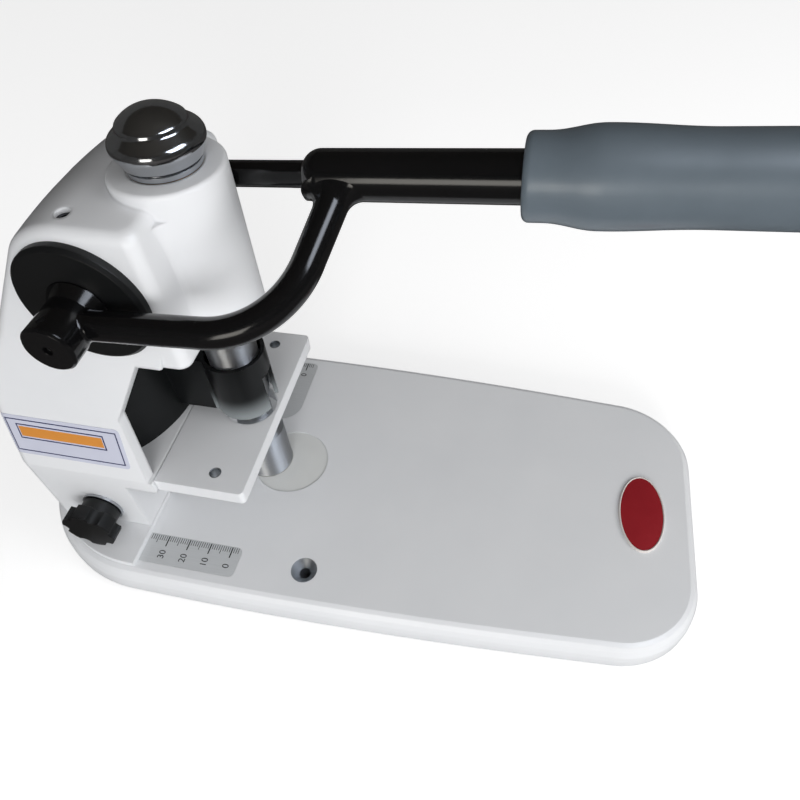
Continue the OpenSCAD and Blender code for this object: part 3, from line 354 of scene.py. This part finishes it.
# The film is a grid: its columns close up towards the ends by a sine, and its rows draw in at the corners.
half_l, half_h = (LABEL_FRONT - LABEL_REAR) / 2, (LABEL_HIGH - LABEL_LOW) / 2
ease = half_l * np.sin(np.linspace(-math.pi / 2, math.pi / 2, FILM_COLUMNS))
near_end = np.maximum(0, LABEL_CORNER - (half_l - np.abs(ease)))
corner = LABEL_CORNER - np.sqrt(LABEL_CORNER ** 2 - near_end ** 2)
rows = np.linspace(-1, 1, FILM_ROWS)
across = np.concatenate([rows, rows[::-1]])
lift = np.repeat([1.0, 0.0], FILM_ROWS)
flat_s = np.broadcast_to(ease[:, None], (FILM_COLUMNS, 2 * FILM_ROWS))
flat_z = (half_h - corner)[:, None] * across
inner = np.abs(flat_s) < half_l - TINY
thick = LABEL_T * lift * inner - LABEL_SINK * (1 - lift)
film = cheek(flat_s + (LABEL_FRONT + LABEL_REAR) / 2, flat_z + (LABEL_LOW + LABEL_HIGH) / 2, thick)
film[[0, -1]] = film[[0, -1]][:, [*range(FILM_ROWS), *reversed(range(FILM_ROWS))]]
label_film, tree, shader, place, tint = coated("printed_film_pale", "#D4D6E4", "#C6C9DA", cloud=20, grain=1.5,
                                               depth=0.004, edge=0.1, Roughness=0.33, IOR=1.5)
print_at = add(tree, "ShaderNodeAttribute", {"attribute_name": "flat"}).outputs["Vector"]


def print_box(tree, middle, half):
    """How far a point of the print lies outside a box: the larger of its two overshoots."""
    moved = add(tree, "ShaderNodeVectorMath", {"operation": "SUBTRACT"}, i0=print_at, i1=(*middle, 0))
    size = add(tree, "ShaderNodeVectorMath", {"operation": "ABSOLUTE"}, i0=moved.outputs[0])
    over = add(tree, "ShaderNodeVectorMath", {"operation": "SUBTRACT"}, i0=size.outputs[0], i1=(*half, 0))
    split = add(tree, "ShaderNodeSeparateXYZ", Vector=over.outputs[0])
    return add(tree, "ShaderNodeMath", {"operation": "MAXIMUM"}, i0=split.outputs["X"],
               i1=split.outputs["Y"]).outputs[0]


BLUE, AMBER = "#2C3160", "#D98F3C"
MARGIN, MARGIN_LINE = 1.9, 0.28
BAND_MIDDLE, BAND_END, BAND_HALF_H = (-1.0, 2.1), 7.6, 2.4
BOX_END, BOX_HALF_H, BOX_LINE = 7.0, 3.3, 0.3
PRINTS = (((0, 0), (half_l - MARGIN, half_h - MARGIN), MARGIN_LINE, BLUE),
          (BAND_MIDDLE, (half_l - BOX_END, BOX_HALF_H), BOX_LINE, BLUE),
          (BAND_MIDDLE, (half_l - BAND_END, BAND_HALF_H), None, AMBER))
for middle, half, line, colour in PRINTS:
    over = print_box(tree, middle, half)
    inked = (add(tree, "ShaderNodeMath", {"operation": "COMPARE"}, i0=over, i1=0.0, i2=line) if line else
             add(tree, "ShaderNodeMath", {"operation": "LESS_THAN"}, i0=over, i1=0.0))
    tint = add(tree, "ShaderNodeMix", {"data_type": "RGBA"}, i0=inked.outputs[0], i6=tint,
               i7=linear(colour)).outputs[2]
tree.links.new(tint, shader.inputs["Base Color"])
flat = np.stack([flat_s, flat_z, 0 * flat_z], axis=-1)
label_mesh = surface("blank_label", film, (False, True), flat=flat)
add_piece("blank_label", label_mesh, label_film, "frame")

# Stripper plate: a flat aluminium plate screwed under the shelf of the frame; the punch passes through it.
# Same white powder. Its two threaded holes were tapped after coating, so bare metal shows round them.
plate_coat, tree, shader, place, tint = coated("powder_coat_white_tapped", **POWDER, IOR=COAT_IOR)
STOP_X, STOP_Y, STOP_R = -1.8, 36.7, 2.5
STOP_METAL, STOP_ROUGH = "#A9ADB1", 0.4
stops = at(STOP_X, [-STOP_Y, STOP_Y], 0)
bare_round(tree, shader, place, tint, stops, STOP_R * MM, STOP_METAL, POWDER_ROUGH, STOP_ROUGH)
dress(plate_coat, "stripper_plate")
dress(zinc, "plate_screws")

# Chip guard: a bin in the hollow spine, a duct and a notched shell round the quill, moulded in one piece.
# Smoke-tinted acrylic, black. Low on the shell round the quill the colour is mixed towards pale grey: a
# painted glow of the white plate below it, strongest at the bottom.
PLATE_GLOW_LOW, PLATE_GLOW_HIGH, SHELL_R, PAINTED_PLATE_GLOW = 44, 57, 14, "#8A9092"
smoke, tree, shader, place, tint = coated("moulded_acrylic_smoke_painted_glow", "#111314", "#0B0C0D", cloud=18, grain=3,
                                          depth=0.01, edge=0.3, Roughness=0.3, IOR=1.49,
                                          Specular_IOR_Level=0.25)
height = add(tree, "ShaderNodeSeparateXYZ", Vector=place).outputs["Z"]
# Painted glow of the white plate: full at the foot of the shell, gone higher up, and only within its radius.
plate_glow_fade = add(tree, "ShaderNodeMapRange", {"interpolation_type": "SMOOTHSTEP"}, i0=height,
           i1=TABLE_Z + PLATE_GLOW_LOW * MM, i2=TABLE_Z + PLATE_GLOW_HIGH * MM, i3=1.0, i4=0.0)
shell = add(tree, "ShaderNodeMath", {"operation": "LESS_THAN"}, i0=upright_distance(tree, place, PUNCH_X, 0),
            i1=SHELL_R * MM)
plate_glow_mask = add(tree, "ShaderNodeMath", {"operation": "MULTIPLY"}, i0=plate_glow_fade.outputs[0], i1=shell.outputs[0])
pale = add(tree, "ShaderNodeMix", {"data_type": "RGBA"}, i0=plate_glow_mask.outputs[0], i6=tint, i7=linear(PAINTED_PLATE_GLOW))
tree.links.new(pale.outputs[2], shader.inputs["Base Color"])
dress(smoke, "chip_guard")

# Bearing flanges: the two black side discs, turned from steel and painted, with bronze bushes in them.
# Thin satin black paint, so the light slides over them without a sharp reflection.
satin_black, *_ = coated("satin_paint_black", "#151617", "#0F1011", cloud=15, grain=0.8, depth=0.01, edge=0.5,
                         Roughness=0.42, IOR=1.5, Specular_IOR_Level=0.35)
dress(satin_black, "near_flange", "far_flange")
bronze, *_ = machined("turned_bearing_bronze", "#C9985A", "#A87A40", lines=(6, 0.4, 0.4), rough_low=0.25,
                      rough_high=0.4, depth=0.006)
dress(bronze, "near_bearing", "far_bearing", "upper_bush", "lower_bush")

# Grub screws and pins: small turned steel pieces that hold the bearings, the punch and the hubs.
# They were blackened in hot salts, which leaves a dark oily sheen.
blackened, *_ = machined("blackened_steel", "#4A4B4E", "#343538", lines=(0.6, 0.6, 0.4), rough_low=0.35,
                         rough_high=0.5, depth=0.006)
dress(blackened, "grub_screws", "punch_screw", "hub_pins")

# Quill, punch and cap: turned steel, chrome plated; the quill has a rack cut in its back.
# Fine rings from the lathe spread each light into a band up the quill and the punch; the cap is polished.
turned_chrome, tree, shader, *_ = machined("chrome_plate_over_turning", "#E2E4E7", "#D4D7DA",
                                           lines=(40, 40, 0.35), rough_low=0.5, rough_high=0.56, depth=0.0008,
                                           Anisotropic=0.97)
upright = add(tree, "ShaderNodeCombineXYZ", X=0.0, Y=0.0, Z=1.0)
tree.links.new(upright.outputs[0], shader.inputs["Tangent"])
dress(turned_chrome, "quill", "punch")
mirror_chrome, *_ = machined("chrome_plate_polished", "#C2C4C8", "#B6B9BD", lines=(40, 40, 3), rough_low=0.1,
                             rough_high=0.14, depth=0.0008)
dress(mirror_chrome, "cap")

# Pinion shaft, pinion, key and back gauge: tool steel, turned or milled, hardened and ground.
# The steel is bare and shows the fine lines of the wheel.
ground, *_ = machined("ground_tool_steel", "#B4B7BA", "#94989C", lines=(8, 0.4, 0.4), rough_low=0.22,
                      rough_high=0.36, depth=0.004)
dress(ground, "pinion_shaft", "pinion", "pinion_key", "gauge")

# Lever: two hubs pinned to the shaft, two bent arms and a tube, welded together and enamelled.
# Thick gloss black enamel, which draws long soft highlights down the tubes.
gloss_black, *_ = coated("gloss_enamel_black", "#0F0F10", "#0A0A0B", cloud=20, grain=2.2, depth=0.008,
                         edge=0.5, Roughness=0.14, IOR=1.52)
dress(gloss_black, "near_hub", "far_hub", "near_arm", "far_arm", "lever_tube")

# Welds: smooth hollow seams where the arms run into the tube, and narrow ones where they enter the hubs.
# They were ground and enamelled with the lever, so small sparks of light sit in their hollows.
pivot = next(np.array(j["pos_m"]) for j in frame["joints"] if j["name"] == "lever_turn")
REST = math.radians(3.5)
ARM_R, ARM_Y, ARM_BEND = 4.8, 42.2, math.radians(75.4)
TUBE_R, TUBE_UP, HUB_R, WELD_U = 7.2, 24.8, 8.4, 80.3
TILT = math.atan2(TUBE_UP, ARM_Y)
TUBE_SEAM, HUB_SEAM, SEAM_SINK, SEAM_DEEP = 4.6, 1.2, 0.06, 1 / 4
SEAM_WAVE, SEAM_WAVES = 0.08, 7
SEAM_RINGS, SEAM_STEPS, SEAM_SHARP = 160, 12, 60


def on_lever(p):
    """Metres in the part's frame from millimetres along the lever, across it and up from it, at rest."""
    x = p[..., 0] * math.cos(REST) - p[..., 2] * math.sin(REST)
    z = p[..., 0] * math.sin(REST) + p[..., 2] * math.cos(REST)
    return pivot + np.stack([x, p[..., 1], z], axis=-1) * MM


def unit(v):
    """Vectors of length one."""
    return v / np.linalg.norm(v, axis=-1, keepdims=True)


def weld(name, end, along, bar_axis, bar_r, seam):
    """Hollow seam where an arm meets a round bar: parabolas between the surfaces, carried round their cut.

    A line on the arm at angle phi meets the bar where its distance from the bar's axis is bar_r, a quadratic
    in the way t back along the arm. Each parabola starts a seam's length up the arm, ends as far out on the
    bar, and bends at the cut: (1 - s)^2 start + 2 s (1 - s) cut + s^2 stop. It closes under the skin."""
    phi = np.linspace(0, 2 * math.pi, SEAM_RINGS, endpoint=False)
    e1 = unit(np.cross(along, bar_axis))
    e2 = np.cross(along, e1)
    out = np.cos(phi)[:, None] * e1 + np.sin(phi)[:, None] * e2
    level = np.eye(3) - np.outer(bar_axis, bar_axis)
    p, d = ARM_R * out @ level, along @ level
    a, b, c = d @ d, p @ d, (p * p).sum(1) - bar_r ** 2
    t = (b + np.sqrt(np.maximum(0, b * b - a * c))) / a
    cut = ARM_R * out - t[:, None] * along
    bar_out = unit(cut @ level)
    run = unit(np.roll(cut, -1, 0) - np.roll(cut, 1, 0))
    away = unit(np.cross(run, bar_out))
    away *= np.sign((away * out).sum(1))[:, None]
    length = (seam * (1 + SEAM_WAVE * np.sin(SEAM_WAVES * phi)))[:, None]
    start = cut - length * along - SEAM_SINK * out
    stop = cut + length * away
    stop = stop - stop @ level + (bar_r - SEAM_SINK) * unit(stop @ level)
    s = np.linspace(0, 1, SEAM_STEPS)[:, None]
    curve = ((1 - s) ** 2 * start[:, None] + 2 * s * (1 - s) * cut[:, None] + s ** 2 * stop[:, None])
    deep = SEAM_DEEP * seam
    under = np.stack([stop - deep * bar_out, cut - deep * unit(out + bar_out), start - deep * out], axis=1)
    ring = np.concatenate([curve, under], axis=1)
    mesh = surface(name, on_lever(end + ring), (True, True), sharp=SEAM_SHARP)
    add_piece(name, mesh, gloss_black, "lever")


FORWARD, ACROSS = np.array([1.0, 0, 0]), np.array([0, 1.0, 0])
for side, hand in (("near", -1), ("far", 1)):
    rising = np.array([math.cos(ARM_BEND), -hand * math.sin(ARM_BEND) * math.cos(TILT),
                       math.sin(ARM_BEND) * math.sin(TILT)])
    weld(f"{side}_tube_weld", np.array([WELD_U, 0, TUBE_UP]), rising, FORWARD, TUBE_R, TUBE_SEAM)
    weld(f"{side}_hub_weld", np.array([0, hand * ARM_Y, 0]), -FORWARD, ACROSS, HUB_R, HUB_SEAM)

# Grip: a sleeve of soft vinyl dipped onto the tube, with a swell behind its rear lip.
# Grey, satin and slightly cloudy, because the vinyl thickens unevenly as it drains.
vinyl, *_ = coated("dipped_vinyl_grey", "#68737C", "#59646C", cloud=16, grain=1.6, depth=0.014, edge=0.8,
                   Roughness=0.36, IOR=1.53, Coat_Weight=0.3, Coat_Roughness=0.22)
dress(vinyl, "grip")

# Clamp: a star knob of black nylon on a zinc plated stud, with a washer, which holds the gauge.
# The knob has the fine even grain of its mould.
knob_nylon, *_ = coated("moulded_nylon_black", "#161718", "#0F1011", cloud=5, grain=0.35, depth=0.02,
                        edge=0.7, Roughness=0.48, IOR=1.53, Specular_IOR_Level=0.35)
dress(knob_nylon, "gauge_knob")
dress(zinc, "clamp_stud", "clamp_washer")

# Studio: a pale floor in a white surround, lit by two windows, one at the near side and one in front.
# Walls, a ceiling, a dark desk and two window panes that only mirrors see stand round it, so that chrome
# and enamel show a room. A dark flag over the head keeps the light from above off it.
SQUARE = ((-1, -1), (1, -1), (1, 1), (-1, 1))


def stage_plane(name, corners, material, **seen):
    """Flat stage piece through four corners, with the kinds of ray that see it."""
    mesh = bpy.data.meshes.new(name)
    mesh.from_pydata([tuple(c) for c in corners], [], [(0, 1, 2, 3)])
    mesh.materials.append(material)
    plane = bpy.data.objects.new(name, mesh)
    bpy.context.scene.collection.objects.link(plane)
    for key, value in seen.items():
        setattr(plane, "visible_" + key, value)


paper, tree, shader = finish("matt_paper_white", Base_Color=linear("#EDEDED"), Roughness=0.9)
ray = add(tree, "ShaderNodeLightPath")
FLOOR_HALF, FLOOR_GLOW = 4, 0.5
shader.inputs["Emission Color"].default_value = linear("#FFFFFF")
glow = add(tree, "ShaderNodeMath", {"operation": "MULTIPLY"}, i0=ray.outputs["Is Camera Ray"], i1=FLOOR_GLOW)
tree.links.new(glow.outputs[0], shader.inputs["Emission Strength"])
stage_plane("floor", [(x * FLOOR_HALF, y * FLOOR_HALF, 0) for x, y in SQUARE], paper)

ONLY_MIRRORS = {"camera": False, "diffuse": False, "shadow": False, "transmission": False}
ROOM_R, ROOM_H, ROOM_SIDES = 1.5, 1.1, 12
ceiling_grey, *_ = finish("matt_ceiling_dark", Base_Color=linear("#4A4640"), Roughness=1.0)
wall_grey, *_ = finish("matt_wall_grey", Base_Color=linear("#605F5D"), Roughness=1.0)
desk_grey, *_ = finish("matt_desk_dark", Base_Color=linear("#565250"), Roughness=1.0)
DESK_Z = 0.0005
stage_plane("desk", [(x * ROOM_R, y * ROOM_R, DESK_Z) for x, y in SQUARE], desk_grey, **ONLY_MIRRORS)
FLAG_REAR, FLAG_FRONT, FLAG_Y, FLAG_Z = -0.18, -0.072, 0.09, 0.198
stage_plane("flag", [(FLAG_FRONT if x > 0 else FLAG_REAR, y * FLAG_Y, FLAG_Z) for x, y in SQUARE], desk_grey,
            camera=False, glossy=False, transmission=False)
stage_plane("ceiling", [(x * ROOM_R, y * ROOM_R, ROOM_H) for x, y in SQUARE], ceiling_grey, **ONLY_MIRRORS)
turns = np.linspace(0, 2 * math.pi, ROOM_SIDES + 1)
for number, (a, b) in enumerate(zip(turns[:-1], turns[1:])):
    stage_plane(f"wall_{number}", [(ROOM_R * math.cos(turn), ROOM_R * math.sin(turn), z)
                                   for turn, z in ((a, 0), (b, 0), (b, ROOM_H), (a, ROOM_H))],
                wall_grey, **ONLY_MIRRORS)

world = bpy.data.worlds.new("studio")
bpy.context.scene.world = world
world.use_nodes = True
tree = world.node_tree
ray = add(tree, "ShaderNodeLightPath")
SURROUND_REAR, SURROUND_FRONT, FRONT_AZIMUTH = 0.1, 0.68, math.radians(-50)
shown = add(tree, "ShaderNodeMath", {"operation": "MAXIMUM"}, i0=ray.outputs["Is Camera Ray"],
            i1=ray.outputs["Is Glossy Ray"])
shown = add(tree, "ShaderNodeMath", {"operation": "MAXIMUM"}, i0=shown.outputs[0],
            i1=ray.outputs["Is Transmission Ray"])
toward = add(tree, "ShaderNodeTexCoord").outputs["Generated"]
facing = add(tree, "ShaderNodeVectorMath", {"operation": "DOT_PRODUCT"}, i0=toward,
             i1=(math.cos(FRONT_AZIMUTH), math.sin(FRONT_AZIMUTH), 0))
surround = add(tree, "ShaderNodeMapRange", i0=facing.outputs["Value"], i1=-1.0, i2=1.0, i3=SURROUND_REAR,
               i4=SURROUND_FRONT)
strength = add(tree, "ShaderNodeMapRange", i0=shown.outputs[0], i3=surround.outputs[0], i4=1.0)
tree.nodes["Background"].inputs["Color"].default_value = linear("#FFFFFF")
tree.links.new(strength.outputs[0], tree.nodes["Background"].inputs["Strength"])
AWAY, AIM_Z = 1.0, 0.06


def facing_part(azimuth, elevation):
    """Place on a sphere round the part, with local x pointing out from its middle."""
    swung = Matrix.Rotation(math.radians(azimuth), 4, "Z")
    raised = Matrix.Rotation(-math.radians(elevation), 4, "Y")
    return Matrix.Translation((0, 0, AIM_Z)) @ (swung @ raised) @ Matrix.Translation((AWAY, 0, 0))


def window(name, azimuth, elevation, width, height, power):
    """Oblong area lamp that faces the part. Mirrors do not see it: they see the pane."""
    lamp = bpy.data.lights.new(name, "AREA")
    lamp.shape, lamp.energy, lamp.size, lamp.size_y = "RECTANGLE", power, height, width
    light = bpy.data.objects.new(name, lamp)
    light.matrix_world = facing_part(azimuth, elevation) @ Matrix.Rotation(math.pi / 2, 4, "Y")
    light.visible_glossy = False
    bpy.context.scene.collection.objects.link(light)


def pane(name, azimuth, elevation, width, height, glow, colour):
    """Glowing oblong that faces the part and that only mirrors see."""
    glass, *_ = finish(name + "_glow", Base_Color=linear("#000000"), Roughness=1.0, Emission_Strength=glow,
                       Emission_Color=linear(colour))
    spot = facing_part(azimuth, elevation)
    corners = [spot @ Vector((0, y * width / 2, z * height / 2)) for y, z in SQUARE]
    stage_plane(name, corners, glass, **ONLY_MIRRORS)


window("near_window", azimuth=-80, elevation=18, width=0.4, height=0.4, power=4.2)
window("front_window", azimuth=-8, elevation=22, width=0.5, height=0.4, power=3.2)
pane("near_pane", azimuth=-98, elevation=12, width=0.4, height=0.36, glow=4.0, colour="#F4F0E8")
pane("front_pane", azimuth=-12, elevation=55, width=0.6, height=0.4, glow=7.0, colour="#EAF2FF")

# Camera: the view fitted to the ruler's lines and to the round parts, from above the near front corner.
# The middle of the lens is a little off the middle of the picture, as in a cropped photograph.
EYE = at(111.49, -161.11, 251.35)
YAW, PITCH, ROLL = 0.281, 0.892, -0.086
FOCAL_PX, MIDDLE_PX, IMAGE_PX, SENSOR = 647.94, (397.02, 418.84), 800, 36
forward = np.array([-math.sin(YAW) * math.cos(PITCH), math.cos(YAW) * math.cos(PITCH), -math.sin(PITCH)])
right = np.array([math.cos(YAW), math.sin(YAW), 0.0])
up = np.cross(right, forward)
right, up = math.cos(ROLL) * right + math.sin(ROLL) * up, math.cos(ROLL) * up - math.sin(ROLL) * right
lens = bpy.data.cameras.new("camera")
lens.sensor_width, lens.lens = SENSOR, FOCAL_PX / IMAGE_PX * SENSOR
lens.shift_x, lens.shift_y = 0.5 - MIDDLE_PX[0] / IMAGE_PX, MIDDLE_PX[1] / IMAGE_PX - 0.5
lens.clip_start = 0.01
camera = bpy.data.objects.new("camera", lens)
stand = np.eye(4)
stand[:3] = np.column_stack([right, up, -forward, EYE])
camera.matrix_world = stand.T.tolist()
bpy.context.scene.collection.objects.link(camera)
bpy.context.scene.camera = camera
bpy.context.scene.view_settings.view_transform = "Standard"
